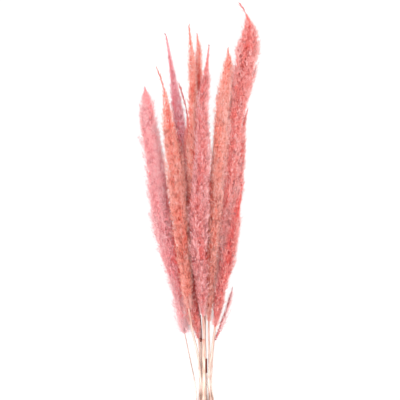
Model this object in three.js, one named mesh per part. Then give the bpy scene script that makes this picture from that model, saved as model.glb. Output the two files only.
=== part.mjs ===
// A bundle of dyed, dried pampas grass, lying down as it was cut and gathered.
// Millimetres. The stalks run along +Y from their cut ends to their tips, +X is across, +Z is up.

import * as THREE from 'three';

// ---- Driving dimensions ----

const BUNDLE_LENGTH = 760; // lowest cut end to highest tip
const BUNDLE_SPREAD = 222; // breadth over the loose hair, where the plumes fan out

const CULM_DIAMETER = 4.6; // an ordinary culm at its cut end
const THIN_CULM_DIAMETER = 2.2; // the weak culm of a small plume
const CULM_TAPER = 0.78; // a culm's width under its plume, over its width at the cut

const PLUME_BODY = 0.88; // width of a plume's dense body, over its width with the loose hair
const PLUME_FLATNESS = 0.76; // height over width of a plume pressed flat by its own weight

const SHEATH_THICKNESS = 0.9; // leaf sheath still wrapped round a culm

const LYING_CLEARANCE = 0.8; // air between stalks that lie on each other
const JOIN_GAP = 0.3; // between a culm and its own plume, sheath or side branch

const BEND_LENGTH = 56; // shortest stretch over which a stalk bends up or down
const TIP_HANG = 0.42; // height of a tip, over the highest place on its stalk

// ---- Fineness ----

const CULM_SIDES = 8;
const PLUME_SIDES = 10;
const CULM_RING_SPACING = 19;
const PLUME_RINGS = 21;
const GRID_STEPS = 240; // places along the bundle where heights are worked out

// ---- Colours and finishes of the dyed grass ----

const PINK = 0xf59aa4;
const MAUVE = 0xd87c90;
const ROSE = 0xe88e98;
const ORANGE = 0xf08a78;
const CORAL = 0xea7870;
const PALE_PINK = 0xf2b0b0;
const STRAW = 0xdcb48c;
const RED_BROWN = 0x8c4a40;

const CULM_ROUGHNESS = 0.6; // satin straw
const SHEATH_ROUGHNESS = 0.7;
const PLUME_ROUGHNESS = 0.95; // matte hair

// ---- The stalks, in the order in which they are laid down ----
//
// route: [along, across] from the cut end to the tip, in hundredths of the bundle's length and
// of its spread, with across measured from the bundle's middle line.
// fluff: [along, width] of the plume from its lowest branch to its tip, along in the same
// hundredths and width in millimetres, with the loose hair.

const STALKS = [
  {
    name: 'left_mauve',
    colour: MAUVE,
    culm: CULM_DIAMETER,
    route: [[0, 2.4], [8, 2], [17, 1.5], [24, 0], [32, -3], [42, -7], [52, -10],
      [60, -12.5], [66, -14.5], [72, -17.5], [79, -21], [86, -24.5], [92, -28]],
    fluff: [[24, 5], [27, 14], [31, 20], [36, 24], [45, 26], [55, 25], [65, 22], [72, 18], [79, 13],
      [84, 8], [88, 4], [92, 0]],
    sheath: { from: 16.5, to: 23 },
  },
  {
    name: 'centre_short',
    colour: ORANGE,
    culm: CULM_DIAMETER,
    route: [[1, 6.8], [8, 5.4], [16, 5.2], [24, 5.2], [32, 5], [42, 4.4], [52, 3.6], [63, 2],
      [73, 0], [81, -0.8], [89, -0.4], [92, -1.6]],
    fluff: [[23, 5], [27, 14], [32, 20], [38, 24], [50, 25], [62, 22], [71, 17], [78, 13.5], [86, 13],
      [89.5, 9], [92, 0]],
  },
  {
    name: 'inner_left',
    colour: CORAL,
    culm: CULM_DIAMETER,
    route: [[0.5, 0.4], [8, 1.1], [13, 0.8], [17, 0], [20, -2], [24, -5], [32, -7], [42, -9],
      [52, -9.6], [61, -10], [71, -9.6], [75, -11.8], [80, -17]],
    fluff: [[17.3, 4], [20, 13], [24, 22], [30, 24], [40, 25], [50, 25], [58, 20], [65, 13],
      [70, 6], [73, 3], [80, 0]],
  },
  {
    name: 'far_right',
    colour: CORAL,
    culm: CULM_DIAMETER,
    route: [[1.5, 10], [7, 10.2], [14, 11.6], [23, 15], [32, 19.5], [42, 25.5], [51, 30],
      [57, 32.6], [62, 34.8], [66, 36], [70, 38], [73.5, 41]],
    fluff: [[22, 5], [26, 12], [34, 18], [45, 20], [55, 20], [61, 18], [66, 14], [69, 9],
      [71.5, 4], [73.5, 0]],
  },
  {
    name: 'far_left',
    colour: PINK,
    culm: THIN_CULM_DIAMETER,
    route: [[0.5, -1.7], [3, -2], [8, -4.4], [15, -9.4], [21, -13.4], [28, -16.6], [37, -23.4],
      [46, -29.8], [54, -34], [61, -37.8], [68, -42], [74, -43.6], [79, -45.6]],
    fluff: [[18.6, 4], [20.6, 12], [23.5, 17], [27, 22], [32, 28], [38, 38], [46, 43], [56, 42], [62, 39],
      [68, 34], [73, 27], [76.5, 16], [79, 0]],
  },
  {
    name: 'centre_tall',
    colour: ORANGE,
    culm: CULM_DIAMETER,
    route: [[0, 6.2], [8, 5.8], [16, 5.2], [25, 3], [33, 1.4], [42, -0.4], [52, -2.4], [60, -4],
      [68, -4.8], [76, -5], [84, -5.6], [89, -6.8], [94, -8.4]],
    fluff: [[23.5, 5], [27, 13], [31, 18], [37, 23], [47, 25], [57, 24], [66, 21], [74, 17], [81, 14.5],
      [86, 12], [89, 8], [94, 0]],
    sheath: { from: 9, to: 12.5 },
  },
  {
    name: 'left_wispy',
    colour: ORANGE,
    culm: CULM_DIAMETER,
    route: [[1, 3.6], [5, 2.4], [9, 0.9], [14, -1.2], [19.5, -5.6], [25, -8.4], [34, -11.6],
      [42, -14.2], [52, -17.6], [60, -20.4], [66, -23.2], [72, -26.8], [79, -30], [84, -36]],
    fluff: [[25, 5], [29.5, 18], [36, 28], [46, 32], [56, 33], [62, 30], [67, 24], [72, 19],
      [77, 12], [80, 5], [84, 0]],
  },
  {
    name: 'right_tall',
    colour: CORAL,
    culm: CULM_DIAMETER,
    route: [[0, 12.8], [6.5, 9.9], [12, 10.2], [16.7, 12.4], [22, 14], [32, 17.6], [42, 21.8],
      [52, 25.2], [62, 27.6], [70, 30], [76, 33.6], [82, 37.4], [89, 41], [93, 42], [97, 39.8],
      [99.6, 34.4]],
    fluff: [[21, 5], [24.5, 13], [28, 18], [33, 23], [42, 29], [52, 33], [62, 34], [71, 37],
      [77, 44], [83, 46], [88, 43], [90.5, 38], [92.3, 27], [94.5, 12], [97, 4], [99.6, 0]],
  },
  {
    name: 'inner_right',
    colour: ORANGE,
    culm: CULM_DIAMETER,
    route: [[0, 8.8], [9, 8.8], [16, 8.5], [22.5, 8.4], [32, 10.4], [42, 12], [52, 13.4],
      [60, 15.4], [66, 17.4], [73, 19], [79, 22], [84, 24.4], [88.5, 24.4]],
    fluff: [[21.5, 5], [25, 12], [30, 18], [42, 22], [51, 25], [60, 27], [69, 26], [77, 23],
      [81, 20], [85, 13], [88.5, 0]],
  },
  {
    name: 'low_right',
    colour: CORAL,
    culm: CULM_DIAMETER,
    route: [[0.8, 11.2], [7, 8], [14, 10.6], [21.6, 14.2], [28, 17.4], [34, 22], [41, 27.4],
      [48, 31], [52, 34], [55.5, 37.6]],
    fluff: [[20.5, 5], [24, 13], [30, 20], [36, 23], [42, 22], [47, 18], [50.5, 12], [53, 6],
      [55.5, 0]],
  },
  {
    name: 'front_centre',
    colour: ROSE,
    culm: CULM_DIAMETER,
    route: [[0, 4.4], [9, 4.2], [17.5, 4], [24, 3.2], [31, 1.6], [37, 0.4], [44, -0.4], [51, 0.2],
      [57, 2.2], [64, 3.2], [71, 3], [77, 3.6], [82, 6], [86, 7.4], [89, 8.4]],
    fluff: [[23, 5], [26, 13], [30, 21], [37, 29], [44, 33], [51, 34], [57, 30], [64, 25], [71, 23],
      [77, 18], [82, 13], [85.5, 6], [89, 0]],
    sheath: { from: 2.5, to: 17.5 },
  },
];

// A single low branch that hangs out beside the plumes. Its route and its fluff are measured from
// the place where it leaves its culm.
const SIDE_BRANCH = {
  name: 'side_branch',
  colour: PALE_PINK,
  growsFrom: 'right_tall',
  leavesAt: 17,
  route: [[0, 0], [2, 2.4], [5.5, 7], [9, 11.4], [12.4, 14.2]],
  fluff: [[0, 2], [2, 6], [5.5, 8], [9, 7], [11, 4], [12.4, 0]],
};

// ---- Curves ----

const CURVE_SAMPLES = 320;
const alongOf = (hundredths) => (hundredths / 100) * BUNDLE_LENGTH;
const acrossOf = (hundredths) => (hundredths / 100) * BUNDLE_SPREAD;

// The straight line between the samples on each side of a place.
function between(samples, place) {
  const last = samples.length - 1;
  let i = 1;
  while (i < last && samples[i].x < place) i += 1;
  const [low, high] = [samples[i - 1], samples[i]];
  const share = (place - low.x) / (high.x - low.x);
  return low.y + THREE.MathUtils.clamp(share, 0, 1) * (high.y - low.y);
}

// A smooth function of the place along the bundle that passes through [place, value] pairs.
function smoothThrough(pairs) {
  const curve = new THREE.SplineCurve(pairs.map(([place, value]) => new THREE.Vector2(place, value)));
  const samples = curve.getPoints(CURVE_SAMPLES);
  return (place) => between(samples, place);
}

// ---- The measures of a stalk ----

// Adds to a stalk its start, its end and the functions that give its place and width. Its lists
// are measured from root, which is given in millimetres.
function measured(stalk, root = { along: 0, across: 0 }) {
  const placeOf = (along) => root.along + alongOf(along);
  const route = smoothThrough(stalk.route.map(([along, across]) => [
    placeOf(along), root.across + acrossOf(across)]));
  const width = smoothThrough(stalk.fluff.map(([along, wide]) => [placeOf(along), wide]));
  const start = placeOf(stalk.route[0][0]);
  const plumeStart = placeOf(stalk.fluff[0][0]);
  const end = placeOf(stalk.route.at(-1)[0]);
  const culmRadius = (y) => {
    const share = (y - start) / Math.max(plumeStart - start, 1);
    return (stalk.culm / 2) * THREE.MathUtils.lerp(1, CULM_TAPER, share);
  };
  const bodyRadius = (y) => Math.max((width(y) * PLUME_BODY) / 2, 0);
  return { ...stalk, route, start, plumeStart, end, culmRadius, bodyRadius };
}

function sheathRadius(stalk, y) {
  return stalk.culmRadius(y) + JOIN_GAP + SHEATH_THICKNESS;
}

// Half the width and half the height that a stalk takes up at one place.
function section(stalk, y) {
  if (y >= stalk.plumeStart) {
    const wide = stalk.bodyRadius(y);
    return { wide, high: wide * PLUME_FLATNESS };
  }
  const { sheath } = stalk;
  const margin = CULM_RING_SPACING / 2;
  const wrapped = sheath && y > alongOf(sheath.from) - margin && y < alongOf(sheath.to) + margin;
  const radius = wrapped ? sheathRadius(stalk, y) : stalk.culmRadius(y);
  return { wide: radius, high: radius };
}

// ---- Laying the stalks on the floor and on each other ----

const GRID = Array.from({ length: GRID_STEPS + 1 }, (_, i) => (i / GRID_STEPS) * BUNDLE_LENGTH);

// The lowest that a stalk's middle can lie at one place: clear of the floor and of what is there.
function lowestAt(stalk, y, laid) {
  const own = section(stalk, y);
  let lowest = own.high;
  for (const other of laid) {
    if (y < other.start || y > other.end) continue;
    const theirs = section(other, y);
    const reach = own.wide + theirs.wide + LYING_CLEARANCE;
    const apart = Math.abs(stalk.route(y) - other.route(y)) / reach;
    if (apart >= 1) continue;
    const rise = (own.high + theirs.high + LYING_CLEARANCE) * Math.sqrt(1 - apart * apart);
    lowest = Math.max(lowest, other.height(y) + rise);
  }
  return lowest;
}

// The highest value within reach of each place, which a mean over the same reach stays above.
function highestNear(values, reach) {
  return values.map((_, i) => Math.max(...values.slice(Math.max(i - reach, 0), i + reach + 1)));
}

function meanNear(values, reach) {
  return values.map((_, i) => {
    const near = values.slice(Math.max(i - reach, 0), i + reach + 1);
    return near.reduce((sum, value) => sum + value, 0) / near.length;
  });
}

// The line of a stiff stalk that is held up only by the highest things below it.
function tautOver(values) {
  const held = [];
  values.forEach((value, i) => {
    while (held.length > 1) {
      const [first, second] = held.slice(-2);
      const line = values[first] + ((value - values[first]) * (second - first)) / (i - first);
      if (values[second] > line) break;
      held.pop();
    }
    held.push(i);
  });
  const samples = held.map((i) => new THREE.Vector2(i, values[i]));
  return values.map((value, i) => (samples.length > 1 ? between(samples, i) : value));
}

// Gives a stalk its height function and adds it to what has been laid.
function layDown(stalk, laid) {
  const places = GRID.filter((y) => y >= stalk.start && y <= stalk.end);
  const lowest = places.map((y) => lowestAt(stalk, y, laid));
  const hung = [...lowest];
  if (stalk.startHeight) hung[0] = Math.max(hung[0], stalk.startHeight);
  hung[hung.length - 1] = Math.max(hung.at(-1), TIP_HANG * Math.max(...lowest));
  const reach = Math.round(BEND_LENGTH / 2 / (BUNDLE_LENGTH / GRID_STEPS));
  const heights = meanNear(tautOver(highestNear(hung, reach)), reach);
  const spare = Math.min(...heights.map((height, i) => height - lowest[i]));
  const samples = heights.map((height, i) => new THREE.Vector2(places[i], height - spare));
  stalk.height = (y) => between(samples, y);
  laid.push(stalk);
}

// ---- Solids ----

// Moves a straight body that stands on the Y axis onto its stalk, with every ring kept upright.
function bendAlong(geometry, stalk, flatness) {
  const at = geometry.attributes.position;
  for (let i = 0; i < at.count; i += 1) {
    const y = at.getY(i);
    at.setXYZ(i, stalk.route(y) + at.getX(i), y, stalk.height(y) + at.getZ(i) * flatness);
  }
  geometry.computeVertexNormals();
  return geometry;
}

function mesh(name, geometry, colour, roughness) {
  const material = new THREE.MeshStandardMaterial({ color: colour, roughness, metalness: 0 });
  const piece = new THREE.Mesh(geometry, material);
  piece.name = name;
  return piece;
}

function culm(stalk) {
  const top = stalk.plumeStart - JOIN_GAP;
  const length = top - stalk.start;
  const rings = Math.round(length / CULM_RING_SPACING);
  const [low, high] = [stalk.culmRadius(stalk.start), stalk.culmRadius(top)];
  const geometry = new THREE.CylinderGeometry(high, low, length, CULM_SIDES, rings);
  geometry.translate(0, stalk.start + length / 2, 0);
  return mesh(`culm_${stalk.name}`, bendAlong(geometry, stalk, 1), STRAW, CULM_ROUGHNESS);
}

function plume(stalk, name) {
  const profile = [new THREE.Vector2(0, stalk.plumeStart)];
  for (let i = 0; i < PLUME_RINGS; i += 1) {
    const y = THREE.MathUtils.lerp(stalk.plumeStart, stalk.end, i / PLUME_RINGS);
    profile.push(new THREE.Vector2(stalk.bodyRadius(y), y));
  }
  profile.push(new THREE.Vector2(0, stalk.end));
  const geometry = new THREE.LatheGeometry(profile, PLUME_SIDES);
  return mesh(name, bendAlong(geometry, stalk, PLUME_FLATNESS), stalk.colour, PLUME_ROUGHNESS);
}

function sheath(stalk) {
  const [from, to] = [alongOf(stalk.sheath.from), alongOf(stalk.sheath.to)];
  const rings = Math.max(Math.round((to - from) / CULM_RING_SPACING), 1);
  const places = Array.from({ length: rings + 1 }, (_, i) => THREE.MathUtils.lerp(from, to, i / rings));
  const outside = places.map((y) => new THREE.Vector2(sheathRadius(stalk, y), y));
  const inside = places.map((y) => new THREE.Vector2(stalk.culmRadius(y) + JOIN_GAP, y)).reverse();
  const geometry = new THREE.LatheGeometry([...outside, ...inside, outside[0]], CULM_SIDES);
  return mesh(`sheath_${stalk.name}`, bendAlong(geometry, stalk, 1), RED_BROWN, SHEATH_ROUGHNESS);
}

// ---- The bundle ----

const bundle = new THREE.Group();
const laid = [];

for (const stalk of STALKS.map((each) => measured(each))) {
  layDown(stalk, laid);
  bundle.add(culm(stalk), plume(stalk, `plume_${stalk.name}`));
  if (stalk.sheath) bundle.add(sheath(stalk));
}

function sideBranch() {
  const parent = laid.find((stalk) => stalk.name === SIDE_BRANCH.growsFrom);
  const along = alongOf(SIDE_BRANCH.leavesAt);
  const thickness = SIDE_BRANCH.fluff[0][1] * PLUME_BODY;
  const across = parent.route(along) + parent.culmRadius(along) + JOIN_GAP + thickness / 2;
  const branch = measured({ ...SIDE_BRANCH, culm: thickness }, { along, across });
  branch.startHeight = parent.height(along);
  layDown(branch, laid);
  return plume(branch, branch.name);
}

bundle.add(sideBranch());

const box = new THREE.Box3().setFromObject(bundle, true);
const middle = box.getCenter(new THREE.Vector3());
bundle.position.set(-middle.x, -middle.y, -box.min.z);

const part = new THREE.Group();
part.add(bundle);
part.updateMatrixWorld(true);

export default part;
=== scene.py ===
# %% [markdown]
# A bundle of dyed pampas grass, lying on a light table.
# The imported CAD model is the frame: each stalk's route, width and height are read from it, and
# nothing here moves it. Blender adds what a solid can't hold: thousands of fine spikelets and
# hairs on every plume, the joints and ridges of the straw, and the finish of each.

# %% The frame
import math

import bpy
import numpy as np
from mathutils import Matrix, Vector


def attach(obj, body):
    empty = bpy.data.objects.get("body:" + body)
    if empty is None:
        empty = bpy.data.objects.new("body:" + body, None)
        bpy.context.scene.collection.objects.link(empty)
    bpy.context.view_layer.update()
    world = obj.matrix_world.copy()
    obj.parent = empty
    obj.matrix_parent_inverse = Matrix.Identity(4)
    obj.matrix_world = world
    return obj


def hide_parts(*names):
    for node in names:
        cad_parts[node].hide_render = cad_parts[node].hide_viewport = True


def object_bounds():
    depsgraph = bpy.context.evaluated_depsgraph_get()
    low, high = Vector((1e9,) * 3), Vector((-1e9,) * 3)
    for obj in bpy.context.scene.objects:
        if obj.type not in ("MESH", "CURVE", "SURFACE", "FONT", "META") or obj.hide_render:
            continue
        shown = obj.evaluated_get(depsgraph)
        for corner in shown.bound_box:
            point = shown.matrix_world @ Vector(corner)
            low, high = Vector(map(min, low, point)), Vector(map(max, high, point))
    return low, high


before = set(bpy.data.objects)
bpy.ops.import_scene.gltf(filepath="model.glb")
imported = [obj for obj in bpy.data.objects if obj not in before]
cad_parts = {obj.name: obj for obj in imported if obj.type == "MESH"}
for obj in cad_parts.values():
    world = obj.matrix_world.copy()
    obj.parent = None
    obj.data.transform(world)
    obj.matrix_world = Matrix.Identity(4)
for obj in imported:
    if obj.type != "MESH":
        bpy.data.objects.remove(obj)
cad_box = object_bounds()
MM = 0.001
print("CAD nodes:", len(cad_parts), "box:", [tuple(round(v, 4) for v in c) for c in cad_box])

# %% [markdown]
# ## The camera
# The bundle lies flat, so it is seen from straight above, with the tips at the top of the frame.
# A camera near the table would show the raised front plume larger than the rest. A long lens
# from three metres keeps the proportions true.

# %% Camera
VIEW_SIZE = 740 * MM
CAMERA_DISTANCE = 3.1
ABOVE_TIP = 3 * MM
MIDDLE_ACROSS = 1.9 * MM
SENSOR = 36


def new_object(name, data):
    """An object that stands in the scene."""
    thing = bpy.data.objects.new(name, data)
    bpy.context.scene.collection.objects.link(thing)
    return thing


def make_camera():
    low, high = cad_box
    camera = new_object("camera", bpy.data.cameras.new("camera"))
    camera.data.sensor_width = SENSOR
    camera.data.lens = SENSOR * CAMERA_DISTANCE / VIEW_SIZE
    camera.location = (
        MIDDLE_ACROSS,
        high[1] + ABOVE_TIP - VIEW_SIZE / 2,
        high[2] / 2 + CAMERA_DISTANCE,
    )
    bpy.context.scene.camera = camera
    return camera


camera = make_camera()
print("camera at", tuple(round(v, 3) for v in camera.location), "lens", round(camera.data.lens, 1))

# %% [markdown]
# ## Materials: the tools
# Colours are picked as the eye sees them, in sRGB, but a renderer adds and multiplies light, so
# each hex value is first made linear. Each material is a small graph of nodes. One function adds
# a node, with its settings, its fixed values and its links, so that a graph reads as a list.


# %% Colour and node helpers
def linear(hex_colour):
    """An sRGB hex colour as linear red, green, blue and alpha."""
    parts = [int(hex_colour[i:i + 2], 16) / 255 for i in (1, 3, 5)]
    return [p / 12.92 if p <= 0.04045 else ((p + 0.055) / 1.055) ** 2.4 for p in parts] + [1.0]


def add_node(tree, kind, values=None, links=None, stops=None, **settings):
    """Adds a node: settings are its properties, values its sockets, stops a ramp's colours,
    and links join an input to (other node, output name)."""
    node = tree.nodes.new(kind)
    for name, value in settings.items():
        setattr(node, name, value)
    for socket, value in (values or {}).items():
        node.inputs[socket].default_value = value
    for socket, (source, output) in (links or {}).items():
        tree.links.new(source.outputs[output], node.inputs[socket])
    for i, (place, colour) in enumerate(stops or []):
        elements = node.color_ramp.elements
        element = elements[i] if i < 2 else elements.new(place)
        element.position = place
        element.color = linear(colour)
    return node


def new_material(name):
    material = bpy.data.materials.new(name)
    material.use_nodes = True
    material.node_tree.nodes.clear()
    return material, material.node_tree


def add_surface(tree, values, links=None):
    """Ends a material's graph with its surface."""
    surface = add_node(tree, "ShaderNodeBsdfPrincipled", values=values, links=links)
    add_node(tree, "ShaderNodeOutputMaterial", links={"Surface": (surface, "BSDF")})


print("straw yellow in linear light:", [round(v, 3) for v in linear("#dcb48c")[:3]])

# %% [markdown]
# ## The dyed plumes: their finish
# Pampas plumes are sold bleached and dyed. Each spikelet has a papery husk in a tuft of silky
# hairs. The dye takes unevenly: husks come out deep, hair tips pale. A plain colour, or a noise
# laid over the whole plume, would look like painted foam. So every husk and hair carries two
# numbers of its own. "tint" says how its dye took, from a dark seed husk to pale hair, and
# "reach" says how far out it is, from the stem to the loose tips. A low reach is coloured darker
# and redder: that is painted shade, for the dim inside of a plume.
# The two also make the piece's UV map, so that the finish can be baked without loss.

# %% Dyed grass
DYED_ROUGHNESS = 0.72  # dry husks are matte, with a little gloss along the hairs
GRASS_IOR = 1.45  # dry cellulose
HAIR_SHEEN = 0.2  # the soft glow of fine hairs seen edge on, in the colour of the dye
SHEEN_ROUGHNESS = 0.5
HUSK_SHINE = 0.16  # far less than a smooth surface: light glancing off one hair meets the next

# Each plume's dye, from a dark seed husk through its body to its palest hairs.
DYES = {
    "plume_pink": ("#d4505a", "#f48a8e", "#fca2a4", "#fdb6b8", "#fdc8ca"),
    "plume_mauve": ("#982838", "#de6872", "#e6828c", "#ee9ea6", "#f4bec4"),
    "plume_rose": ("#9e3238", "#d66a68", "#e88884", "#eea0a2", "#f6bebc"),
    "plume_orange": ("#ac3628", "#e67262", "#f2907e", "#f4a89e", "#fac0b6"),
    "plume_coral": ("#a22a32", "#e0625e", "#ec8078", "#f09a96", "#f8bab6"),
    "plume_pale": ("#903a3e", "#da8084", "#e89a9a", "#f2b2b2", "#facccc"),
}
TINT_PLACES = (0.0, 0.22, 0.5, 0.78, 1.0)
# Painted shade: the dye is multiplied by these at each reach. Deep inside, a real plume lets
# only red light go on between husks.
PAINTED_INNER_SHADE = ((0.0, "#ee5a4e"), (0.24, "#fa968c"), (0.46, "#ffffff"))
# How far the colour goes over to that of the palest hairs, at each reach.
PALE_HAIR = ((0.58, "#000000"), (1.0, "#b0b0b0"))
HAIR_GLOW = 0.35  # share of the light that soaks into a hair and comes out beside where it went in
GLOW_DEPTH = (2.2 * MM, 1.1 * MM, 0.9 * MM)


def dyed_grass(slot):
    """Dyed husks and hairs: a soft matte body, painted shade in the hollows, glowing at its loose
    edge.
    """
    material, tree = new_material(slot.replace("plume", "dyed_grass"))
    tint = add_node(tree, "ShaderNodeAttribute", attribute_name="tint")
    reach = add_node(tree, "ShaderNodeAttribute", attribute_name="reach")
    dye = add_node(tree, "ShaderNodeValToRGB", links={"Fac": (tint, "Fac")},
                   stops=list(zip(TINT_PLACES, DYES[slot])))
    inner_shade = add_node(tree, "ShaderNodeValToRGB", links={"Fac": (reach, "Fac")}, stops=PAINTED_INNER_SHADE)
    # the dye darkened and reddened by the painted inner shade
    deep = add_node(tree, "ShaderNodeMixRGB", blend_type="MULTIPLY", values={"Fac": 1.0},
                    links={"Color1": (dye, "Color"), "Color2": (inner_shade, "Color")})
    outer = add_node(tree, "ShaderNodeValToRGB", links={"Fac": (reach, "Fac")}, stops=PALE_HAIR)
    colour = add_node(tree, "ShaderNodeMixRGB", values={"Color2": linear(DYES[slot][-1])},
                      links={"Fac": (outer, "Color"), "Color1": (deep, "Color")})
    gloss = add_node(tree, "ShaderNodeMapRange",
                     values={"To Min": DYED_ROUGHNESS + 0.1, "To Max": DYED_ROUGHNESS - 0.1},
                     links={"Value": (tint, "Fac")})
    add_surface(tree, {"IOR": GRASS_IOR, "Specular IOR Level": HUSK_SHINE,
                       "Sheen Weight": HAIR_SHEEN, "Sheen Roughness": SHEEN_ROUGHNESS,
                       "Sheen Tint": linear(DYES[slot][2]), "Subsurface Weight": HAIR_GLOW,
                       "Subsurface Scale": 1.0, "Subsurface Radius": GLOW_DEPTH},
                {"Base Color": (colour, "Color"), "Roughness": (gloss, "Result")})
    return material


dyed = {slot: dyed_grass(slot) for slot in DYES}
print("dyes:", ", ".join(sorted(dyed)))

# %% [markdown]
# ## The straw: its finish
# A culm is a hollow, jointed straw with a waxy skin and fine ridges along it, a few tenths of a
# millimetre apart. Drying turns it from cream to tan, and the dye bath leaves pink stains near
# the plume. The ridges and streaks run along the culm, so the pattern is laid out on "grain",
# which goes round and along each culm, and not on the room's axes, which a bent culm crosses.

# %% Straw
STRAW_ROUGHNESS = 0.5  # waxy when it grew, dull now
STRAW_SHINE = 0.3
RIDGE_SPACING = 0.55 * MM  # real ridges are about 0.3 mm apart: these are coarser, to show
RIDGES_PER_STREAK = 3  # side by side
STREAK_LENGTH = 30 * MM
STREAKS_PER_RIDGE = 3  # end to end
RIDGE_DEPTH = 0.12 * MM


def noise_along(tree, grain, across, along, detail):
    """Noise of so many lumps a metre across the grain and along it."""
    place = add_node(tree, "ShaderNodeMapping", values={"Scale": (across, along, across)},
                     links={"Vector": (grain, "Vector")})
    return add_node(tree, "ShaderNodeTexNoise", values={"Scale": 1.0, "Detail": detail},
                    links={"Vector": (place, "Vector")})


def straw(name, light, body, dark, stain):
    """Dry straw or leaf: fine lengthwise streaks and ridges under a dull wax, stained by dye."""
    material, tree = new_material(name)
    grain = add_node(tree, "ShaderNodeAttribute", attribute_name="grain")
    stained = add_node(tree, "ShaderNodeAttribute", attribute_name="stain")
    across, along = 1 / RIDGE_SPACING, 1 / STREAK_LENGTH
    streaks = noise_along(tree, grain, across / RIDGES_PER_STREAK, along, 4.0)
    skin = add_node(tree, "ShaderNodeValToRGB", links={"Fac": (streaks, "Fac")},
                    stops=((0.36, dark), (0.5, body), (0.64, light)))
    colour = add_node(tree, "ShaderNodeMixRGB", values={"Color2": linear(stain)},
                      links={"Fac": (stained, "Fac"), "Color1": (skin, "Color")})
    ridges = noise_along(tree, grain, across, along / STREAKS_PER_RIDGE, 2.0)
    relief = add_node(tree, "ShaderNodeBump", values={"Distance": RIDGE_DEPTH, "Strength": 0.8},
                      links={"Height": (ridges, "Fac")})
    dull = add_node(tree, "ShaderNodeMapRange",
                    values={"To Min": STRAW_ROUGHNESS - 0.08, "To Max": STRAW_ROUGHNESS + 0.15},
                    links={"Value": (streaks, "Fac")})
    add_surface(tree, {"IOR": GRASS_IOR, "Specular IOR Level": STRAW_SHINE},
                {"Base Color": (colour, "Color"), "Roughness": (dull, "Result"),
                 "Normal": (relief, "Normal")})
    return material


# Dull cream culms with tan streaks, rosy where the dye bath reached.
dry_straw = straw("dry_straw", "#d6c4b8", "#bea499", "#84604f", "#ae786c")
# Old leaf that took the dye fully: a dark red-brown accent between the pale culms.
dark_leaf = straw("red_brown_leaf", "#9a5c4e", "#7c4034", "#54241e", "#6c2e28")
# Younger leaf, papery and nearly as pale as the culm it wraps.
pale_leaf = straw("pale_leaf", "#dccabe", "#c6aa9a", "#90685a", "#a06a5c")
print("straw ridges every", RIDGE_SPACING / MM, "mm")

# %% [markdown]
# ## Reading a stalk from the frame
# A CAD plume or culm is a row of rings across the Y axis. The middle and half size of each ring
# say where the stalk runs and how thick it is. A line drawn straight from ring to ring would
# show a corner at each one, so the values between them follow a smooth cubic curve.


# %% Rings and smooth curves
PLUME_SIDES = 10  # sides of a CAD plume's ring, whose widest corners stand a little off its axis
WIDEST_CORNER = math.sin(2 * math.pi * 2 / PLUME_SIDES)


def rings(node):
    """The places of a node's rings along Y, their middles and their half sizes, across and up."""
    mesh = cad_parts[node].data
    co = np.empty(len(mesh.vertices) * 3)
    mesh.vertices.foreach_get("co", co)
    co = co.reshape(-1, 3)
    near = np.round(co[:, 1], 5)
    places = np.unique(near)
    low = np.array([co[near == p].min(0) for p in places])
    high = np.array([co[near == p].max(0) for p in places])
    return places, ((low + high) / 2)[:, [0, 2]], ((high - low) / 2)[:, [0, 2]]


def smooth(places, values):
    """A smooth function through values at places, held level past both ends."""
    slope = np.gradient(values, places, axis=0)

    def at(y):
        y = np.clip(y, places[0], places[-1])
        i = np.clip(np.searchsorted(places, y) - 1, 0, len(places) - 2)
        step = places[i + 1] - places[i]
        t = (y - places[i]) / step
        shape = (..., None) if values.ndim > 1 else ...
        t, step = t[shape], step[shape]
        return ((1 + 2 * t) * (1 - t) ** 2 * values[i] + t * (1 - t) ** 2 * step * slope[i]
                + t * t * (3 - 2 * t) * values[i + 1] + t * t * (t - 1) * step * slope[i + 1])

    return at


places, middles, halves = rings("plume_right_tall")
print("plume_right_tall has", len(places), "rings, widest",
      round(2 * halves[:, 0].max() / MM, 1), "mm")

# %% [markdown]
# ## Strands, husks and hairs
# Everything on a plume is one of three shapes: a branch, which is a thin tapered tube; a husk,
# which is a spindle pointed at both ends; and a hair, which is a long thin spike. Particle hair
# would be quick, but it isn't a mesh, so each is built here as a small closed solid. They are
# made by the thousand, so the code works on whole arrays of them at once.


# %% Shape helpers
def unit(vectors):
    return vectors / np.maximum(np.linalg.norm(vectors, axis=-1, keepdims=True), 1e-9)


def side_axes(direction):
    """Two axes square to each direction."""
    up = np.where(np.abs(direction[..., 2:3]) < 0.9, [0.0, 0.0, 1.0], [1.0, 0.0, 0.0])
    first = unit(np.cross(direction, up))
    return first, np.cross(direction, first)


class Heap:
    """Closed shapes gathered into one mesh, with the tint and reach of every corner."""

    def __init__(self):
        self.points, self.corners, self.tint, self.reach = [], [], [], []
        self.count = 0

    def add(self, points, corners, tint, reach):
        """Adds n like shapes: points is (n, k, 3), tint and reach (n, k), corners (faces, 3)."""
        n, k, _ = points.shape
        first = self.count + np.arange(n)[:, None, None] * k
        self.corners.append((first + corners[None]).reshape(-1, 3))
        self.points.append(points.reshape(-1, 3))
        self.tint.append(np.clip(tint, 0.01, 0.99).ravel())
        self.reach.append(np.clip(reach, 0.01, 0.99).ravel())
        self.count += n * k


ROUND = np.arange(3) * 2 * math.pi / 3
TRIANGLE = np.stack([np.cos(ROUND), np.sin(ROUND)], 1)
HUSK_CORNERS = np.array([[0, 2, 1], [0, 3, 2], [0, 1, 3], [4, 1, 2], [4, 2, 3], [4, 3, 1]])
HAIR_CORNERS = np.array([[0, 2, 1], [3, 0, 1], [3, 1, 2], [3, 2, 0]])
TINT_WIDTH = 0.012  # how far the tint differs round one husk
FATTEST = 0.38  # place of a husk's widest part along it


def triangles(centre, direction, radius):
    """Three corners round each centre, square to its direction."""
    first, second = side_axes(direction)
    ring = TRIANGLE[:, :1] * first[..., None, :] + TRIANGLE[:, 1:] * second[..., None, :]
    return centre[..., None, :] + ring * radius[..., None, None]


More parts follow.
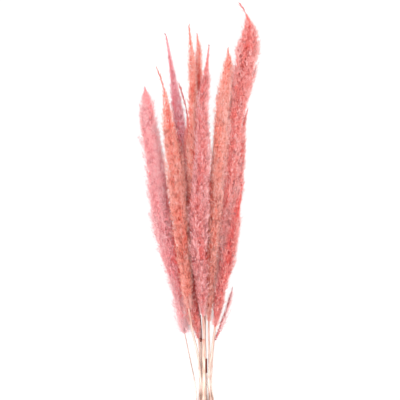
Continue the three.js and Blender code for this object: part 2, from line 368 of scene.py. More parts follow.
def add_husks(heap, base, direction, length, radius, tint, reach):
    """Spindles from base along direction."""
    tip = base + direction * length[:, None]
    middle = triangles(base + direction * (length * FATTEST)[:, None], direction, radius)
    points = np.concatenate([base[:, None], middle, tip[:, None]], 1)
    tints = tint[:, None] + np.array([0, -1, 1, 0, 0]) * TINT_WIDTH
    reaches = reach[:, None] * np.array([0.9, 1, 1, 1.04, 1.15])
    heap.add(points, HUSK_CORNERS, tints, reaches)


def add_hairs(heap, base, direction, length, radius, tint, reach):
    """Thin spikes from base along direction, paler to their tips."""
    foot = triangles(base, direction, radius)
    points = np.concatenate([foot, (base + direction * length[:, None])[:, None]], 1)
    tints = tint[:, None] + np.array([-1, 1, 0, 4]) * TINT_WIDTH
    reaches = reach[:, None] * np.array([1, 1, 0.95, 1.42])
    heap.add(points, HAIR_CORNERS, tints, reaches)


def add_strands(heap, lines, radius, tint, reach):
    """Three-sided tubes along lines (n, m, 3), with radius and reach (n, m), and a flat end."""
    n, m, _ = lines.shape
    direction = unit(np.gradient(lines, axis=1))
    points = triangles(lines, direction, radius).reshape(n, m * 3, 3)
    quads = [(3 * i + j, 3 * i + (j + 1) % 3) for i in range(m - 1) for j in range(3)]
    corners = [[a, b, a + 3] for a, b in quads] + [[b, b + 3, a + 3] for a, b in quads]
    ends = [[0, 2, 1], [3 * m - 3, 3 * m - 2, 3 * m - 1]]
    tints = tint[:, None, None] + np.array([-1, 1, 0]) * TINT_WIDTH + np.zeros((1, m, 1))
    reaches = reach[:, :, None] + np.array([0, 0, 0.02])
    heap.add(points, np.array(corners + ends), tints.reshape(n, -1), reaches.reshape(n, -1))


print("a husk has", len(HUSK_CORNERS), "faces and a hair", len(HAIR_CORNERS))

# %% [markdown]
# ## Making a mesh
# Arrays go into a Blender mesh in one step, which is far quicker than adding faces one by one.
# Husks near the table would poke through it, so heights close to it are eased upwards. A real
# plume's longest hairs break off. Here they are drawn in, as a cut would leave blunt ends.

# %% Mesh from a heap
SOFT_FLOOR = 2.5 * MM
FLUFF_REACH = 15.5 * MM  # how far hairs stand out past the sides of the CAD model
FLUFF_HEIGHT = 11 * MM  # and above its top
EASED_OVER = 4 * MM


def above_table(points):
    """Eases what is near or below the table to just above it."""
    z = points[:, 2]
    eased = SOFT_FLOOR * np.exp((z - SOFT_FLOOR) / SOFT_FLOOR)
    points[:, 2] = np.where(z < SOFT_FLOOR, eased, z)
    return points


def drawn_in(distance, limit):
    """Distances with those near or past a limit eased back to within it."""
    start = limit - EASED_OVER
    eased = limit - EASED_OVER * np.exp((start - distance) / EASED_OVER)
    return np.where(distance > start, eased, distance)


def within_reach(points):
    """Draws in the few hairs that would stand out too far."""
    x = points[:, 0]
    points[:, 0] = np.sign(x) * drawn_in(np.abs(x), cad_box[1][0] + FLUFF_REACH)
    points[:, 2] = drawn_in(points[:, 2], cad_box[1][2] + FLUFF_HEIGHT)
    return points


def finish_piece(name, mesh, material, node):
    """Puts a mesh in the scene in place of a CAD node."""
    mesh.polygons.foreach_set("use_smooth", np.ones(len(mesh.polygons), bool))
    mesh.materials.append(material)
    piece = new_object(name, mesh)
    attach(piece, "root")
    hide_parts(node)
    return piece


def fill_mesh(name, points, corners):
    """A mesh from an array of points and one of equal-sided faces."""
    mesh = bpy.data.meshes.new(name)
    sides = corners.shape[1]
    mesh.vertices.add(len(points))
    mesh.vertices.foreach_set("co", points.astype(np.float32).ravel())
    mesh.loops.add(corners.size)
    mesh.loops.foreach_set("vertex_index", corners.astype(np.int32).ravel())
    mesh.polygons.add(len(corners))
    mesh.polygons.foreach_set("loop_start", np.arange(0, corners.size, sides, dtype=np.int32))
    mesh.update(calc_edges=True)
    return mesh


def heap_mesh(heap, name):
    """The heap's mesh, with tint and reach as attributes and as the UV map for baking."""
    points = within_reach(above_table(np.concatenate(heap.points)))
    corners = np.concatenate(heap.corners)
    mesh = fill_mesh(name, points, corners)
    own = {"tint": np.concatenate(heap.tint), "reach": np.concatenate(heap.reach)}
    for key, values in own.items():
        mesh.attributes.new(key, "FLOAT", "POINT").data.foreach_set("value", values)
    at_corner = np.stack([own["tint"], own["reach"]], 1)[corners.ravel()]
    mesh.uv_layers.new(name="OFBake").data.foreach_set("uv", at_corner.astype(np.float32).ravel())
    return mesh


print("nothing is lower than", round(SOFT_FLOOR / MM * math.exp(-3), 2), "mm, as far as 5 mm under")

# %% [markdown]
# ## A plume and its look
# No two plumes dried alike. What one differs in is called its look: how full and hairy it is,
# how its dye took, how loose its foot is. Usual values serve them all, and a plume's own look
# names only what is different, which is easier to tune than eleven full lists. A place on a
# plume is given by its share, from 0 at the plume's foot to 1 at its top.

# %% A stalk with its usual look
USUAL = {
    "fullness": 1.0,  # spikelets on the same length of branch
    "hairs": 1.0,  # mean number on each spikelet
    "husk_size": 1.0,
    "matted": 1.0,  # husks matted round the stem
    "dye": 0.56,  # mean tint, and less is deeper
    "streaks": 0.07,  # how far branches differ in tint
    "speckle": 0.2,  # how far clumps on one branch differ in tint
    "out": (0.28, 0.8),  # least distance of branches from the stem, and their spread
    "tufted": 0.1,  # share of branches that end in a tuft
    "tuft_flare": 0.35,  # how far tufts turn outwards
    "strays": 0.14,  # share of branches that stand off singly
    "foot": 0.05,  # share of the length that is loose foot, with few husks
    "pale_foot": 0.25,  # how much paler the foot is
    "skirt": 1.5 * MM,  # how far the foot is splayed
    "broom": 1.0,  # how many long hairs hang loose there
    "wider": 1.0,  # than the CAD plume, which is its dense body
    "airy": 0.0,  # how much less painted inner shade its husks get, as if light got in between them
    "thin_from": 1.0,  # share of the length above which branches are fewer
    "thinness": 1.0,  # and how many of them are left
    "bare_top": 0.004,  # share of the length that is only a stem tip
    "stem": 1.3 * MM,  # radius of the stem inside the plume
}
USUAL_HALF_WIDTH = 8 * MM
SMALLEST = 0.45  # size of husks where a plume is slimmest
SLIMMEST = 0.4 * MM  # half width that a plume keeps at its very ends
SLIM = 0.8 * MM  # where a plume's half width is less, it counts as further inside
SETTLED = 0.94  # a dried plume sinks a little under its own weight
SKIRT_PLACE = 0.055  # share of the length where the foot is splayed most
SKIRT_SIDES = [1.0, 0.4]  # it splays out across the table more than upwards


class Stalk:
    """A plume's stem line and half sizes, from its CAD node."""

    def __init__(self, node, look):
        places, middles, halves = rings(node)
        self.node = node
        self.skirt, self.airy = look["skirt"], look["airy"]
        self.start, self.tip = places[0], places[-1]
        self.length = self.tip - self.start
        self.middle = smooth(places, middles)
        self.half = smooth(places, halves / [WIDEST_CORNER, 1.0] * [look["wider"], SETTLED])

    def share(self, y):
        return (y - self.start) / self.length

    def place(self, share):
        return self.start + share * self.length

    def at(self, y, angle, out):
        """Points at places along Y, at an angle round the stem, out shares of the half size."""
        middle, half = self.middle(y), np.maximum(self.half(y), SLIMMEST)
        skirt = self.skirt * np.exp(-((self.share(y) - SKIRT_PLACE) / SKIRT_PLACE) ** 2)
        half = half + skirt[..., None] * SKIRT_SIDES
        x = middle[..., 0] + out * half[..., 0] * np.sin(angle)
        z = middle[..., 1] + out * half[..., 1] * np.cos(angle)
        return np.stack([x, y, z], -1)

    def direction(self, y):
        """Which way the stem points at places along Y."""
        step = 4 * MM
        run = self.middle(y + step) - self.middle(y - step)
        return unit(np.stack([run[..., 0], np.full(np.shape(y), 2 * step), run[..., 1]], -1))

    def slimness(self, y):
        """1 where the plume is of usual width, and less where it is slim and its husks small."""
        return np.clip(self.half(y)[..., 0] / USUAL_HALF_WIDTH, SMALLEST, 1.0)

    def out_of(self, points):
        """How far out points are, as a share of the half size there."""
        x, y, z = points[..., 0], points[..., 1], points[..., 2]
        middle, half = self.middle(y), np.maximum(self.half(y), SLIM)
        return self.airy + np.hypot((x - middle[..., 0]) / half[..., 0],
                                    (z - middle[..., 1]) / half[..., 1])


EVERY_PLUME = [Stalk(node, USUAL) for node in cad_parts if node.startswith("plume_")]
print("plume lengths, mm:", sorted(round(stalk.length / MM) for stalk in EVERY_PLUME))

# %% [markdown]
# ## Hollows between the plumes
# Where dyed plumes lie close, light goes from husk to husk, and each one makes it redder. A
# renderer stops after a few such steps and leaves a grey hollow. So every husk is told how far
# it lies down beside or below another plume, and that red shade is painted on: it is coloured
# as one further inside its own, and its tint is deepened.

# %% Shelter between plumes
GAP_WEIGHT = 2.2  # light comes in more by a gap beside a plume than by a height below it
OPEN_HEIGHT = 5 * MM  # a plume that is only this much higher shuts out about half the light
OPEN_SHARE = 0.4  # and what shuts out less than this share doesn't count
CROWDING = 0.95  # how far inside a husk counts in the deepest hollow, for painted shade
HOLLOW_SHADE_TINT = 0.2  # and how much deeper its tint is painted there


def overshadowed(stalk, points):
    """How far points lie down beside or below other plumes: 0 in the open, 1 well below one."""
    x, y, z = points[..., 0], points[..., 1], points[..., 2]
    most = np.zeros(y.shape)
    for other in EVERY_PLUME:
        if other.node == stalk.node:
            continue
        middle, half = other.middle(y), other.half(y)
        above = np.maximum(middle[..., 1] - z, 0)
        gap = np.maximum(np.abs(x - middle[..., 0]) - half[..., 0], 0)
        beside = (y > other.start) & (y < other.tip)
        most = np.maximum(most, beside * above / (above + GAP_WEIGHT * gap + OPEN_HEIGHT))
    return np.clip((most - OPEN_SHARE) / OPEN_SHARE, 0, 1)


def reach_of(stalk, points):
    """How far out points are, counted as further in, for painted shade, beside or under others."""
    return stalk.out_of(points) * (1 - CROWDING * overshadowed(stalk, points))


stalk = EVERY_PLUME[0]
stem = stalk.at(stalk.place(np.linspace(0, 1, 50)), np.zeros(50), np.zeros(50))
print(stalk.node, "lies under others by", round(float(overshadowed(stalk, stem).mean()), 2))

# %% [markdown]
# ## The branches of a plume
# A pampas plume is a long panicle. Thin branches leave the stem all round, climb close along it
# and end in a feathery tip, each with a hundred or so spikelets. The branches, not the single
# husks, give the plume its lengthwise locks and the dark lines between them. So the branches are
# laid out first, inside the width and height of the CAD plume, and then clothed. All alike, they
# would give an outline as smooth as a brush. On a real plume some stray, and in places a few tips
# draw together in a tuft that turns outwards, and so they do here.
# Each branch is followed by t, from 0 at the stem to 1 at its tip.

# %% Laying out the branches
AREA_PER_BRANCH = 60 * MM * MM  # of the plume's outline
BRANCH_LENGTH = (50 * MM, 105 * MM)
TOP_BRANCH = 14 * MM  # length of a branch at the very top
ROOM_USED = 1.5  # and how much longer for each length of plume above it
LEAST_ROOM = 4 * MM
BELOW_MIDDLE = 0.6  # share of a branch's length that lies below its middle place
GOLDEN_ANGLE = math.pi * (3 - math.sqrt(5))  # puts no branch right above the last
HUGGING = 3.4  # how soon a branch reaches its distance from the stem
LOCK_SWAY = 0.4  # how far a lock wanders round the stem, in radians
TUFTS = 18  # places down both sides of a plume where several branch tips draw together
TUFT_LENGTH = (36 * MM, 56 * MM)
TUFT_SPREAD = 4 * MM
BRANCH_TURN, TUFT_TURN, TUFTED_TURN = 0.3, 0.35, 0.2  # radians that each is out of its place
TUFT_PLACES = {"bare_top": 0.08, "thin_from": 1.0, "thinness": 1.0}
TUFT_FLARE = (0.55, 1.0)
STRAY_FLARE = (0.15, 0.5)
CLOSE_FLARE = (0.02, 0.2)
STRAY_FULLNESS = 0.55
NARROW_PART = 2.2 * MM  # keeps a few branches even where the plume is slimmest


def places_by_width(stalk, rng, count, look):
    """Places along a plume, more where it is wide, fewer above thin_from, none in its bare top."""
    y = np.linspace(stalk.start, stalk.tip, 400)
    share = stalk.share(y)
    weight = stalk.half(y)[:, 0] + NARROW_PART
    weight = np.where(share > look["thin_from"], weight * look["thinness"], weight)
    weight[share > 1 - look["bare_top"]] = 0
    total = np.cumsum(weight)
    area = 2 * total[-1] * (y[1] - y[0])
    spaced = (rng.permutation(count) + rng.random(count)) / count
    return np.interp(spaced * total[-1], total, y), area


class Branches:
    """All the branches of one plume, as arrays with one value for each branch."""

    def __init__(self, stalk, rng, look):
        _, area = places_by_width(stalk, rng, 1, look)
        n = int(area / AREA_PER_BRANCH)
        middle, _ = places_by_width(stalk, rng, n, look)
        length = rng.uniform(*BRANCH_LENGTH, n)
        tuft, tufted = rng.integers(0, TUFTS, n), rng.random(n) < look["tufted"]
        side = rng.choice([-1, 1], TUFTS) * rng.normal(math.pi / 2, TUFT_TURN, TUFTS)
        gathered, _ = places_by_width(stalk, rng, TUFTS, TUFT_PLACES)
        middle = np.where(tufted, gathered[tuft] + rng.normal(0, TUFT_SPREAD, n), middle)
        length = np.where(tufted, rng.uniform(*TUFT_LENGTH, n), length)
        top = stalk.tip - look["bare_top"] * stalk.length
        room_above = np.maximum(top - middle, LEAST_ROOM)
        length = np.minimum(length, TOP_BRANCH + ROOM_USED * room_above)
        self.start = np.maximum(middle - BELOW_MIDDLE * length, stalk.start)
        self.end = np.minimum(self.start + length, top)
        self.length = self.end - self.start
        self.angle = np.arange(n) * GOLDEN_ANGLE + rng.normal(0, BRANCH_TURN, n)
        gathered_angle = side[tuft] + rng.normal(0, TUFTED_TURN, n)
        self.angle = np.where(tufted, gathered_angle, self.angle)
        nearest, spread = look["out"]
        self.out = nearest + spread * rng.random(n) ** 0.45  # most of them lie near the outside
        stray = rng.random(n) < look["strays"]
        self.flare = np.where(stray, rng.uniform(*STRAY_FLARE, n), rng.uniform(*CLOSE_FLARE, n))
        tuft_flare = rng.uniform(*TUFT_FLARE, n) * look["tuft_flare"]
        self.flare = np.where(tufted, tuft_flare, self.flare)
        self.sway = rng.normal(0, LOCK_SWAY, n)
        self.phase = rng.uniform(0, 2 * math.pi, n)
        self.tint = rng.normal(look["dye"], look["streaks"], n)
        self.patch = rng.uniform(0.1, 1.6, n)  # past 1, the branch has no patch
        self.fullness = np.where(stray, STRAY_FULLNESS, 1.0)
        self.stalk, self.count = stalk, n

    def at(self, which, t):
        """Points at t along the branches numbered in which."""
        y = self.start[which] + self.length[which] * t
        climb = (1 - np.exp(-HUGGING * t)) / (1 - math.exp(-HUGGING))
        out = self.out[which] * climb + self.flare[which] * t ** 3
        angle = self.angle[which] + self.sway[which] * np.sin(2.5 * t + self.phase[which])
        return self.stalk.at(y, angle, out)


print("a usual tall plume has",
      Branches(Stalk("plume_right_tall", USUAL), np.random.default_rng(1), USUAL).count, "branches")

# %% [markdown]
# ## Clothing the branches
# Husks and hairs point up the branch and a little outwards. Each sits off its branch on a stalk
# of its own, so that a lock is about 6 mm thick and narrows to its tip. In the dye bath, wet
# spikelets stick together in small clumps and take the dye alike. Dye drawn at random for each
# husk would blur to one even colour. So husks in the same small box of space share a value, and
# some clumps come out much deeper: they are the dark flecks. A few husks still hold a dark seed,
# and a branch may have a patch where more dye soaked in.

# %% Husks and hairs on the branches
HUSKS_PER_LENGTH = 1.1 / MM
BARE_FOOT = 0.06  # share of a branch that has none
HUSK_LENGTH = (4.5 * MM, 8.5 * MM)
HUSK_RADIUS = (0.4 * MM, 0.72 * MM)
HUSK_TURN = (0.1, 0.8)  # how far husks point outwards
HUSK_SCATTER = 0.18  # and how far every way
HAIR_LENGTH = (6 * MM, 13 * MM)
HAIR_RADIUS = (0.13 * MM, 0.22 * MM)
HAIR_TURN = (0.3, 1.1)
HAIR_SCATTER = 0.3
HAIR_PALER = 0.1
LOCK_RADIUS = 3.1 * MM
LOCK_NARROWS = (1.1, 0.6)  # times LOCK_RADIUS at its foot, and less by this at its tip
SMALL_AT_TIP = 0.45  # how much smaller husks are there
SURFACE_REACH = 0.72  # reach at the plume's own surface, past which only hair tips stand
CLUMP_SIZE = (3.2 * MM, 7 * MM, 3.2 * MM)
CLUMP_KINDS = 5003
CLUMP_MIX = (7919, 104729, 1299709)  # primes, so that clumps side by side are of unlike kinds
PAST_ALL = 1000  # clumps are numbered from so far off that no number is below 0
DEEP_CLUMP = -0.9  # clumps with a lower value than this took much more dye
DEEP_DYE = 2.4
SLIGHT_DYE = 0.8
SINGLE_DYE = 0.4  # how far a husk differs from its clump
PATCH_DYE = 2
PATCH_SIZE = 0.035  # of a branch's length
DARK_HUSKS = 0.03  # share of husks that hold a seed
SEED_TINT = 0.04
LIGHTER_TOP = 0.2  # how much paler the dye is from foot to tip
EVEN_PLACE = 0.4  # share of the length where it is neither deeper nor paler
FOOT_LOSS = 0.85  # share of husks that are gone at the very foot
FOOT_HAIR_LOSS = 0.5
FOOT_HAIR_GAIN = 0.6  # how much longer hairs are there


def along_branches(branches, rng, per_length):
    """Picks places all along the branches: branch numbers, t, points, directions."""
    counts = rng.poisson(branches.length * branches.fullness * per_length)
    which = np.repeat(np.arange(branches.count), counts)
    t = BARE_FOOT + (1 - BARE_FOOT) * rng.random(len(which)) ** 0.8
    here = branches.at(which, t)
    ahead = branches.at(which, np.minimum(t + 0.03, 1.05))
    return which, t, here, unit(ahead - here)


def clumped(points, rng):
    """Random values, each shared by all the husks of one small clump."""
    cell = np.floor(points / CLUMP_SIZE + PAST_ALL).astype(int)
    value = rng.normal(0, 1, CLUMP_KINDS)[(cell * CLUMP_MIX).sum(1) % CLUMP_KINDS]
    return np.where(value < DEEP_CLUMP, DEEP_DYE * value, SLIGHT_DYE * value)


def husk_tints(branches, rng, look, which, t, base, foot, near):
    """How the dye took on each husk, by its branch, its clump and its place on the plume;
    where other plumes lie over it, the tint is deepened as painted shade.
    """
    share = branches.stalk.share(base[:, 1])
    uneven = 1.5 - share
    patch = np.exp(-((t - branches.patch[which]) / PATCH_SIZE) ** 2)
    differs = SINGLE_DYE * rng.normal(0, 1, len(t)) + clumped(base, rng) - PATCH_DYE * patch
    tint = branches.tint[which] + look["speckle"] * uneven * differs + look["pale_foot"] * foot
    tint = tint + LIGHTER_TOP * (share - EVEN_PLACE) - HOLLOW_SHADE_TINT * near
    seeds = DARK_HUSKS * uneven * look["speckle"] / USUAL["speckle"]
    return np.where(rng.random(len(t)) < seeds, SEED_TINT, tint)


def clothe(heap, branches, rng, look):
    """Husks all along the branches, and hairs on some of them."""
    stalk = branches.stalk
    which, t, here, along = along_branches(branches, rng, HUSKS_PER_LENGTH * look["fullness"])
    n = len(which)
    first, second = side_axes(along)
    turn = rng.uniform(0, 2 * math.pi, n)
    aside = first * np.cos(turn)[:, None] + second * np.sin(turn)[:, None]
    lock = LOCK_RADIUS * (LOCK_NARROWS[0] - LOCK_NARROWS[1] * t)
    offset = lock * np.sqrt(rng.random(n)) * stalk.slimness(here[:, 1])
    base = here + aside * offset[:, None]
    spread = rng.uniform(*HUSK_TURN, n)[:, None]
    direction = unit(along + aside * spread + rng.normal(0, HUSK_SCATTER, (n, 3)))
    near = overshadowed(stalk, base)
    slim = stalk.slimness(base[:, 1])
    foot = np.clip(1 - stalk.share(base[:, 1]) / look["foot"], 0, 1)
    # husks beside or under other plumes count as further in: painted shade
    reach = stalk.out_of(base) * (1 - CROWDING * near) + look["pale_foot"] * foot
    tint = husk_tints(branches, rng, look, which, t, base, foot, near)
    small = (1 - SMALL_AT_TIP * t ** 3) * slim * look["husk_size"]
    length = rng.uniform(*HUSK_LENGTH, n) * small
    radius = rng.uniform(*HUSK_RADIUS, n) * small
    kept = rng.random(n) > FOOT_LOSS * foot
    add_husks(heap, base[kept], direction[kept], length[kept], radius[kept], tint[kept],
              (SURFACE_REACH * reach)[kept])

    hairy = np.repeat(np.arange(n), rng.poisson(look["hairs"] * (1 - FOOT_HAIR_LOSS * foot)))
    spread = rng.uniform(*HAIR_TURN, (len(hairy), 1))
    scatter = rng.normal(0, HAIR_SCATTER, (len(hairy), 3))
    direction = unit(along[hairy] + aside[hairy] * spread + scatter)
    length = rng.uniform(*HAIR_LENGTH, len(hairy)) * (slim + FOOT_HAIR_GAIN * foot)[hairy]
    radius = rng.uniform(*HAIR_RADIUS, len(hairy))
    add_hairs(heap, base[hairy], direction, length, radius, tint[hairy] + HAIR_PALER,
              SURFACE_REACH * reach[hairy])


print("husks on the longest branches:", round(HUSKS_PER_LENGTH * BRANCH_LENGTH[1]))

# %% [markdown]
# ## Inside, foot and stem
# Through branches alone, the white table would show as pale specks. A real plume is matted round
# its stem with broad husks, and they close it here too. Their deeper tint and lower reach are
# painted shade, for the dim inside of the plume. At its foot, where the leaf was stripped off,
# loose pale hairs are left. On a bare top, a few dark seed husks still cling to the stem.

# %% Matted husks, branch strands, foot hairs and stem
MATTED_PER_BRANCH = 22
MATTED_LENGTH = (7 * MM, 12 * MM)
MATTED_RADIUS = (0.65 * MM, 1.1 * MM)
MATTED_OUT = 0.78
# painted shade inside: how much deeper the matted husks' tint is, and how far their reach is cut
MATTED_SHADE_TINT = 0.16
MATTED_REACH = 0.62
MATTED_LOSS = 0.75  # share of them that are gone from the foot
BRANCH_POINTS = 9
BRANCH_RADIUS = 0.42 * MM
BRANCH_PALER = 0.05
BRANCH_REACH = 0.7
FOOT_HAIRS = 500
FOOT_HAIR_LENGTH = (5, 13)  # in millimetres
LOWEST_PART = 0.05  # share of the length that they grow on
STEM_TINT = 0.35
BARE_TINT = 0.1
STEM_REACH = 0.56
STEM_TAPER = 0.4
SEEDS = 520  # for a bare top as long as the plume
SEED_LENGTH = (4 * MM, 8 * MM)
SEED_RADIUS = (0.5 * MM, 0.8 * MM)
SEED_REACH = 0.5


def fill_inside(heap, branches, rng, look):
    """Broad husks matted round the stem."""
    stalk = branches.stalk
    n = int(branches.count * MATTED_PER_BRANCH * look["matted"])
    which = rng.integers(0, branches.count, n)
    y = branches.at(which, rng.uniform(0.05, 0.95, n))[:, 1]
    lost = MATTED_LOSS * np.clip(1.3 - stalk.share(y) / look["foot"], 0, 1)
    y = y[rng.random(n) > lost]
    n = len(y)
    base = stalk.at(y, rng.uniform(0, 2 * math.pi, n), MATTED_OUT * np.sqrt(rng.random(n)))
    direction = unit(rng.normal(0, 0.2, (n, 3)) + [0, 1, 0])
    length = rng.uniform(*MATTED_LENGTH, n) * stalk.slimness(y)
    radius = rng.uniform(*MATTED_RADIUS, n) * stalk.slimness(y)
    tint = rng.normal(look["dye"] - MATTED_SHADE_TINT, 0.1, n)
    add_husks(heap, base, direction, length, radius, tint, MATTED_REACH * reach_of(stalk, base))


def add_branch_strands(heap, branches):
    t = np.linspace(0, 1, BRANCH_POINTS)[None, :]
    which = np.arange(branches.count)[:, None]
    lines = branches.at(which, t)
    radius = BRANCH_RADIUS * (1 - 0.75 * t) * np.ones((branches.count, 1))
    reach = BRANCH_REACH * reach_of(branches.stalk, lines)
    add_strands(heap, lines, radius, branches.tint + BRANCH_PALER, reach)


def add_foot_hairs(heap, stalk, rng, look):
    """Loose pale hairs that stand out all round the lowest part of a plume."""
    n = int(FOOT_HAIRS * look["broom"])
    y = stalk.start + stalk.length * LOWEST_PART * rng.random(n)
    turn = rng.uniform(0, 2 * math.pi, n)
    base = stalk.at(y, turn, 0.4 * rng.random(n))
    outward = np.stack([np.sin(turn), rng.normal(0.9, 0.6, n), 0.5 * np.cos(turn)], 1)
    length = rng.uniform(*FOOT_HAIR_LENGTH, n) * MM * look["broom"] ** 0.5
    radius = rng.uniform(*HAIR_RADIUS, n)
    tint = rng.normal(look["dye"] + look["pale_foot"], 0.12, n)
    add_hairs(heap, base, unit(outward), length, radius, tint, np.full(n, BRANCH_REACH))


def add_stem(heap, stalk, rng, look):
    """The stem inside the plume, from its culm up, and the seed husks on its bare top."""
    bare = 1 - look["bare_top"]
    for first, last, tint in ((0, bare, STEM_TINT), (bare, 1, BARE_TINT)):
        share = np.linspace(first, last, 60)[None, :]
        y = stalk.place(share)
        lines = stalk.at(y, np.zeros_like(y), np.zeros_like(y))
        radius = look["stem"] * (1 - share * STEM_TAPER)
        add_strands(heap, lines, radius, np.array([tint]), np.full_like(share, STEM_REACH))
    n = int(SEEDS * look["bare_top"])
    y = stalk.place(1 - look["bare_top"] * (0.15 + rng.random(n)))
    base = stalk.at(y, np.zeros(n), np.zeros(n))
    direction = unit(rng.normal(0, 0.3, (n, 3)) + stalk.direction(y))
    length, radius = rng.uniform(*SEED_LENGTH, n), rng.uniform(*SEED_RADIUS, n)
    add_husks(heap, base, direction, length, radius, rng.normal(SEED_TINT, 0.08, n),
              np.full(n, SEED_REACH))


def grow_plume(node, slot, seed, look):
    rng = np.random.default_rng(seed)
    heap, stalk = Heap(), Stalk(node, look)
    branches = Branches(stalk, rng, look)
    add_stem(heap, stalk, rng, look)
    add_foot_hairs(heap, stalk, rng, look)
    add_branch_strands(heap, branches)
    fill_inside(heap, branches, rng, look)
    clothe(heap, branches, rng, look)
    mesh = heap_mesh(heap, node)
    piece = finish_piece(node + "_grown", mesh, dyed[slot], node)
    print(f"{node}: {branches.count} branches, {len(mesh.polygons)} faces")
    return piece


print("matted husks for each branch:", MATTED_PER_BRANCH)

# %% [markdown]
# ## Eleven plumes and a side branch
# The far-left plume has a loose pale foot. Two on the left are thin near their tops, three end
# in a bare stem tip, and those on the right stand out more in tufts. The side branch is a small
# plume of the same make, with few branches that stand well off its stem.

# %% Grow the plumes
LOOKS = {
    "far_left": ("plume_pink", {
        "dye": 0.54, "streaks": 0.05, "speckle": 0.27, "airy": 0.3, "husk_size": 0.85,
        "hairs": 1.4, "matted": 1.2, "strays": 0.25, "tufted": 0.16, "tuft_flare": 0.34,
        # its pale foot is raised partly as painted light, against the shade of the plumes over it
        "foot": 0.24, "pale_foot": 0.7, "skirt": 7 * MM, "broom": 3.0}),
    "left_mauve": ("plume_mauve", {
        # its paler dye and airy are partly painted light, as it lies low in its neighbours' shade
        "dye": 0.7, "streaks": 0.1, "speckle": 0.28, "wider": 1.12, "airy": 0.1,
        "stem": 0.9 * MM}),
    "left_wispy": ("plume_orange", {
        "thin_from": 0.7, "thinness": 0.3, "bare_top": 0.1, "skirt": 4 * MM, "broom": 1.4}),
    "inner_left": ("plume_coral", {
        "dye": 0.6, "wider": 1.2, "thin_from": 0.8, "thinness": 0.5, "bare_top": 0.12}),
    "centre_tall": ("plume_orange", {"dye": 0.5}),
    # centre_short's paler dye is partly painted light, as it lies low in the shade of the plumes
    # beside it
    "centre_short": ("plume_orange", {"dye": 0.72}),
    "front_centre": ("plume_rose", {"streaks": 0.12, "speckle": 0.26, "tufted": 0.16}),
    "inner_right": ("plume_orange", {
        # its paler dye and airy are partly painted light, against the shade of the plumes beside it
        "dye": 0.66, "airy": 0.12, "wider": 1.12, "strays": 0.42, "tufted": 0.25,
        "tuft_flare": 0.45}),
    "right_tall": ("plume_coral", {
        "dye": 0.62, "streaks": 0.1, "speckle": 0.26, "airy": 0.12, "wider": 1.03,
        "strays": 0.22, "tufted": 0.28, "tuft_flare": 0.42, "bare_top": 0.035,
        "stem": 1.1 * MM}),
    "far_right": ("plume_coral", {"dye": 0.58, "speckle": 0.26, "tufted": 0.2}),
    "low_right": ("plume_coral", {
        "dye": 0.42, "streaks": 0.2, "speckle": 0.32, "strays": 0.25, "tufted": 0.4,
        "tuft_flare": 0.6}),
}
SIDE_BRANCH = {"fullness": 0.8, "dye": 0.3, "out": (0.9, 0.9), "tufted": 0.3, "tuft_flare": 1.5,
               "broom": 0.3, "skirt": 0.0, "stem": 0.9 * MM}

for seed, (name, (slot, own)) in enumerate(LOOKS.items()):
    grow_plume("plume_" + name, slot, seed + 11, {**USUAL, **own})
grow_plume("side_branch", "plume_pale", 40, {**USUAL, **SIDE_BRANCH})

# %% [markdown]
# ## Culms
# A culm is a row of long hollow joints. Where two meet is a node, a ring a little thicker and
# darker than the rest. Each CAD culm is plain, so a rounder one stands in for it, with its nodes
# turned up in the profile: nodes added as rings of their own would leave a seam. It is solid
# here, as pith closes the bore.

# %% Culm meshes
CULM_SIDES = 16
CULM_STEP = 2.5 * MM
NODE_SPACING = (105 * MM, 150 * MM)
FIRST_NODE = (0.3, 0.9)  # of the shorter spacing, from the cut end
NO_NODE_BELOW_TOP = 20 * MM
NODE_SWELL = 0.16
NODE_HALF_LENGTH = 2.2 * MM
BETWEEN_NODES = 0.97  # a little slimmer than the CAD culm, so that its nodes hardly pass it
TOP_STAIN = 0.6  # dye drawn up the culm to the plume
BLOTCHES = 0.1
NODE_STAIN = 0.5
MOST_STAIN = 0.85


def tube(name, y, middle, radius, inside=None):
    """A closed tube along Y; with inside given, it is open at both ends and has that bore."""
    angle = np.arange(CULM_SIDES) * 2 * math.pi / CULM_SIDES
    skins = [(y, middle, radius)]
    if inside is not None:
        skins.append((y[::-1], middle[::-1], inside[::-1]))
    points, grain = [], []
    for place, centre, size in skins:
        x = centre[:, :1] + size[:, None] * np.cos(angle)
        z = centre[:, 1:] + size[:, None] * np.sin(angle)
        points.append(np.stack([x, np.repeat(place[:, None], CULM_SIDES, 1), z], -1))
        around = np.stack([np.cos(angle), 0 * angle, np.sin(angle)], -1) * radius.mean()
        along = (place - y[0])[:, None, None] * np.array([0.0, 1.0, 0.0])
        grain.append(around[None] + along)
    points, grain = (np.concatenate(a).reshape(-1, 3) for a in (points, grain))
    rows = len(points) // CULM_SIDES
    last = rows if inside is not None else rows - 1
    row, side = np.meshgrid(np.arange(last), np.arange(CULM_SIDES), indexing="ij")
    after, beside = (row + 1) % rows, (side + 1) % CULM_SIDES
    corner = [row * CULM_SIDES + side, row * CULM_SIDES + beside,
              after * CULM_SIDES + beside, after * CULM_SIDES + side]
    faces = [list(f) for f in np.stack(corner, -1).reshape(-1, 4)[:, ::-1]]
    if inside is None:
        faces.append(list(range(CULM_SIDES)))
        faces.append(list(range(len(points) - 1, len(points) - CULM_SIDES - 1, -1)))
    mesh = bpy.data.meshes.new(name)
    mesh.from_pydata(points.tolist(), [], faces)
    mesh.attributes.new("grain", "FLOAT_VECTOR", "POINT").data.foreach_set("vector", grain.ravel())
    return mesh


def set_stain(mesh, stain):
    mesh.attributes.new("stain", "FLOAT", "POINT").data.foreach_set("value", stain)


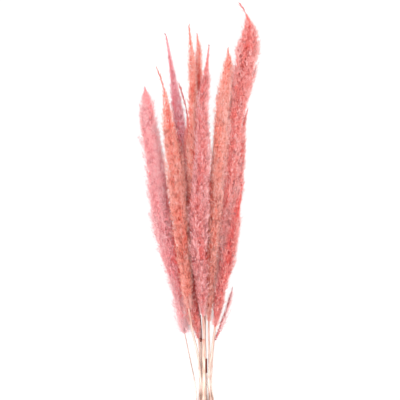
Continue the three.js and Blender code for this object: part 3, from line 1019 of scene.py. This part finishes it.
def make_culm(name, seed):
    rng = np.random.default_rng(seed)
    places, middles, halves = rings("culm_" + name)
    y = np.arange(places[0], places[-1], CULM_STEP)
    y = np.append(y, places[-1])
    radius = smooth(places, halves[:, 0])(y)
    swell = np.zeros_like(y)
    node = places[0] + rng.uniform(*FIRST_NODE) * NODE_SPACING[0]
    while node < places[-1] - NO_NODE_BELOW_TOP:
        swell += np.exp(-((y - node) / NODE_HALF_LENGTH) ** 2)
        node += rng.uniform(*NODE_SPACING)
    radius = radius * (BETWEEN_NODES + NODE_SWELL * swell)
    mesh = tube("culm_" + name, y, smooth(places, middles)(y), radius)
    share = (y - y[0]) / (y[-1] - y[0])
    blotches = np.sin(share * rng.uniform(8, 16) + rng.uniform(0, 6)) ** 2
    dye = TOP_STAIN * share ** 4 + BLOTCHES * blotches
    set_stain(mesh, np.repeat(np.clip(dye + NODE_STAIN * swell, 0, MOST_STAIN), CULM_SIDES))
    return finish_piece("culm_" + name + "_straw", mesh, dry_straw, "culm_" + name)


for seed, name in enumerate(LOOKS):
    make_culm(name, seed + 60)
print(len(LOOKS), "culms of", CULM_SIDES, "sides")

# %% [markdown]
# ## Sheaths
# The foot of each leaf wraps the culm as a papery sheath. The leaves were stripped off, and three
# sheaths are left. A solid sleeve would look like a bead, so each is a thin wall that is open
# at both ends and widens to a mouth at its top.

# %% Sheaths
SHEATH_WALL = 0.45 * MM
SHEATH_FIT = 0.93  # of the CAD sheath's half width, at its foot
MOUTH = 0.05  # and how much of it the mouth adds
SHEATH_STAIN = 0.8


def make_sheath(name, material):
    places, middles, halves = rings("sheath_" + name)
    y = np.linspace(places[0], places[-1], max(int((places[-1] - places[0]) / CULM_STEP), 8))
    share = (y - y[0]) / (y[-1] - y[0])
    outer = smooth(places, halves[:, 0])(y) * (SHEATH_FIT + MOUTH * share ** 6)
    mesh = tube("sheath_" + name, y, smooth(places, middles)(y), outer, outer - SHEATH_WALL)
    stain = np.concatenate([share ** 4, share[::-1] ** 4]) * SHEATH_STAIN
    set_stain(mesh, np.repeat(stain, CULM_SIDES))
    return finish_piece("sheath_" + name + "_leaf", mesh, material, "sheath_" + name)


make_sheath("left_mauve", dark_leaf)
make_sheath("centre_tall", dark_leaf)
make_sheath("front_centre", pale_leaf)
print("3 sheaths, walls", SHEATH_WALL / MM, "mm")

# %% [markdown]
# ## Table and light
# The bundle lies on a light table, an opal white sheet that glows evenly from below. Small goods
# are shown on one so that they throw almost no shadow. A plain white sheet would need so
# much light that the finest hairs were lost in its glare; this one is only just white. A bright
# room all round fills the hollows, and one large soft light gives shape. It hangs over the
# bundle, a little to the left and towards the tips.

# %% Table and light
TABLE_SIZE = 30.0
TABLE_GLOW = 0.96
LIGHT_SIZE = 2.6
LIGHT_PLACE = (-0.35, 0.5, 2.6)
LIGHT_POWER = 68
ROOM_BRIGHTNESS = 1.9


def make_table():
    half = TABLE_SIZE / 2
    corners = [(-half, -half, 0), (half, -half, 0), (half, half, 0), (-half, half, 0)]
    mesh = bpy.data.meshes.new("table")
    mesh.from_pydata(corners, [], [(0, 1, 2, 3)])
    material, tree = new_material("opal_sheet")
    add_surface(tree, {"Base Color": linear("#404040"), "Roughness": 1.0,
                       "Specular IOR Level": 0.0, "Emission Color": (1, 1, 1, 1),
                       "Emission Strength": TABLE_GLOW})
    mesh.materials.append(material)
    table = new_object("table", mesh)
    return table


def make_lights():
    world = bpy.data.worlds.new("room")
    world.use_nodes = True
    background = world.node_tree.nodes["Background"].inputs
    background["Color"].default_value = (1, 1, 1, 1)
    background["Strength"].default_value = ROOM_BRIGHTNESS
    bpy.context.scene.world = world
    light = new_object("soft_light", bpy.data.lights.new("soft_light", "AREA"))
    light.data.size = LIGHT_SIZE
    light.data.energy = LIGHT_POWER
    light.location = LIGHT_PLACE
    towards = -np.array(LIGHT_PLACE)
    light.rotation_euler = (math.atan2(math.hypot(towards[0], towards[1]), -towards[2]), 0,
                            math.atan2(towards[0], -towards[1]))
    light.visible_camera = False
    return light


make_table()
make_lights()
bpy.context.scene.view_settings.view_transform = "Standard"
print("light", LIGHT_POWER, "W, room", ROOM_BRIGHTNESS)
